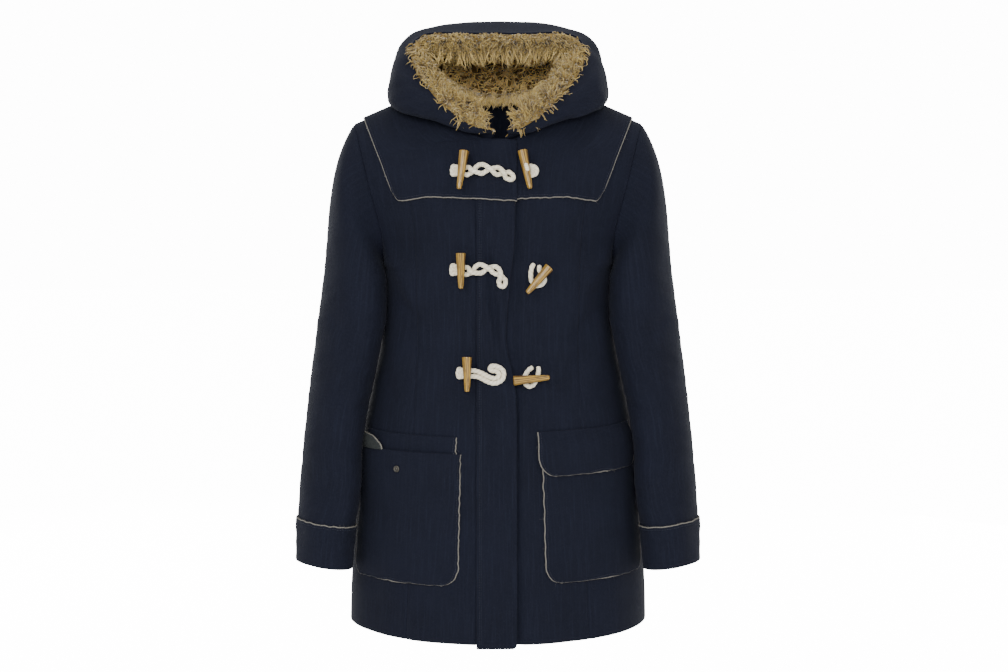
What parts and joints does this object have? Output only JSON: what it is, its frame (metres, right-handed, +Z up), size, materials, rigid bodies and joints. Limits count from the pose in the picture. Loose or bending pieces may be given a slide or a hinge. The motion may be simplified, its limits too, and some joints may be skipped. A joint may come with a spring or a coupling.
{
  "type": "hooded coat",
  "caption": "Hooded thigh-length wool coat in its worn shape with no wearer: fur-lined hood laid back, front placket with toggles and cord loops, shoulder yoke, patch pockets, turned cuffs.",
  "frame": {"origin": "between the shoulders, at the height of the neck points of the shoulder seams, on the coat's middle plane", "axes": "+Z up towards the hood, -Y out of the front, +X towards the wearer's left"},
  "size_m": [0.5846, 0.3366, 0.8827],
  "materials": {
    "navy_cloth": "matt brushed wool twill, near-black navy",
    "curly_fur": "curly tan pile",
    "toggle_wood": "satin honey-coloured wood",
    "cream_cord": "twisted cream cord",
    "aged_brass": "dull aged brass"
  },
  "bodies": {
    "root": {"front_centre_right": "navy_cloth", "front_side_right": "navy_cloth", "front_centre_left": "navy_cloth", "front_side_left": "navy_cloth", "back_right": "navy_cloth", "back_left": "navy_cloth", "placket": "navy_cloth", "yoke_front_right": "navy_cloth", "yoke_front_left": "navy_cloth", "yoke_back": "navy_cloth", "pocket_right": "navy_cloth", "pocket_left": "navy_cloth", "pocket_flap_left": "navy_cloth", "pocket_flap_right": "navy_cloth", "sleeve_left": "navy_cloth", "cuff_left": "navy_cloth", "sleeve_right": "navy_cloth", "cuff_right": "navy_cloth", "hood": "navy_cloth", "hood_lining": "curly_fur", "toggle_right_1": "toggle_wood", "toggle_left_1": "toggle_wood", "toggle_right_2": "toggle_wood", "toggle_left_2": "toggle_wood", "toggle_right_3": "toggle_wood", "toggle_left_3": "toggle_wood", "toggle_cord_right_1": "cream_cord", "toggle_cord_right_2": "cream_cord", "toggle_cord_right_3": "cream_cord", "toggle_cord_left_1": "cream_cord", "toggle_cord_left_2": "cream_cord", "toggle_cord_left_3": "cream_cord", "pocket_stud": "aged_brass"}
  },
  "joints": []
}
